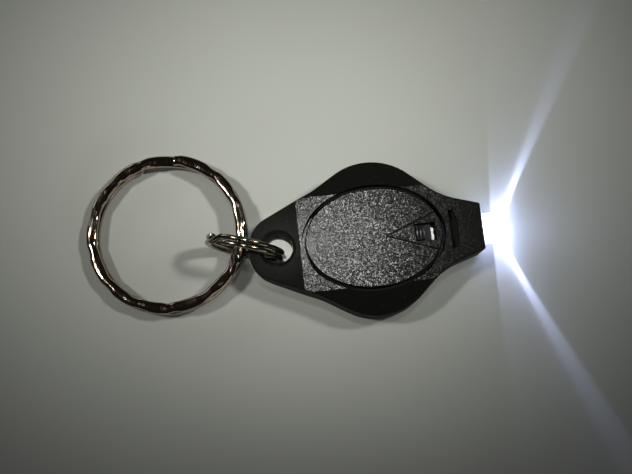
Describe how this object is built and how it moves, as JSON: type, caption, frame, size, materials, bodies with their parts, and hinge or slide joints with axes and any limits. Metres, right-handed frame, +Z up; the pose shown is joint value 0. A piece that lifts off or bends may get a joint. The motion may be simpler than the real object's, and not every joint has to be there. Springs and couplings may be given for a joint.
{
  "type": "keychain flashlight",
  "caption": "Pocket squeeze light for a key ring: lemon-shaped plastic case with a press pad, a slide switch, a domed LED and two linked split rings",
  "frame": {"origin": "on the underside plane of the case, directly below the centre of the press pad and the cells", "axes": "+X along the case from the lug to the LED, +Z up out of the press pad, +Y across the case"},
  "size_m": [0.0687, 0.0307, 0.0128],
  "materials": {
    "case_plastic": "fine moulded grain, satin black",
    "switch_plastic": "smooth glossy black",
    "screw_steel": "plain zinc-plated steel",
    "led_epoxy": "water-clear epoxy",
    "led_die": "phosphor-coated chip, lit",
    "lead_wire": "tin-plated wire",
    "cell_steel": "plain nickel-plated steel",
    "cell_gasket": "moulded nylon",
    "ring_nickel": "plain nickel plate",
    "hammered_nickel": "hammered warm nickel plate"
  },
  "bodies": {
    "case": {"top_shell": "case_plastic", "bottom_shell": "case_plastic", "case_screw_1": "screw_steel", "case_screw_2": "screw_steel", "case_screw_3": "screw_steel", "case_screw_4": "screw_steel", "led_lens": "led_epoxy", "led_die": "led_die", "led_anode_lead": "lead_wire", "led_cathode_lead": "lead_wire", "upper_cell_can": "cell_steel", "upper_cell_gasket": "cell_gasket", "upper_cell_cap": "cell_steel", "lower_cell_can": "cell_steel", "lower_cell_gasket": "cell_gasket", "lower_cell_cap": "cell_steel"},
    "pad": {"press_pad": "case_plastic"},
    "slider": {"switch_slider": "switch_plastic"},
    "small_ring": {"small_split_ring": "ring_nickel"},
    "large_ring": {"large_split_ring": "hammered_nickel"}
  },
  "joints": [
    {"name": "pad_press", "type": "slide", "parent": "case", "child": "pad", "axis": [0, 0, -1], "range_m": [0, 0.0004], "stiffness_N_per_m": 4000, "springref_m": -0.0002},
    {"name": "switch_slide", "type": "slide", "parent": "pad", "child": "slider", "axis": [1, 0, 0], "range_m": [0, 0.0014]},
    {"name": "small_ring_turn", "type": "hinge", "parent": "case", "child": "small_ring", "pos_m": [-0.0207, 0.0007, 0.0064], "axis": [0.309, 0.9511, 0], "range_deg": [0, 90]},
    {"name": "large_ring_swing", "type": "hinge", "parent": "small_ring", "child": "large_ring", "pos_m": [-0.0217, 0.00102, 0.00312], "axis": [0.3256, 0.9455, 0], "range_deg": [-60, 75]}
  ]
}
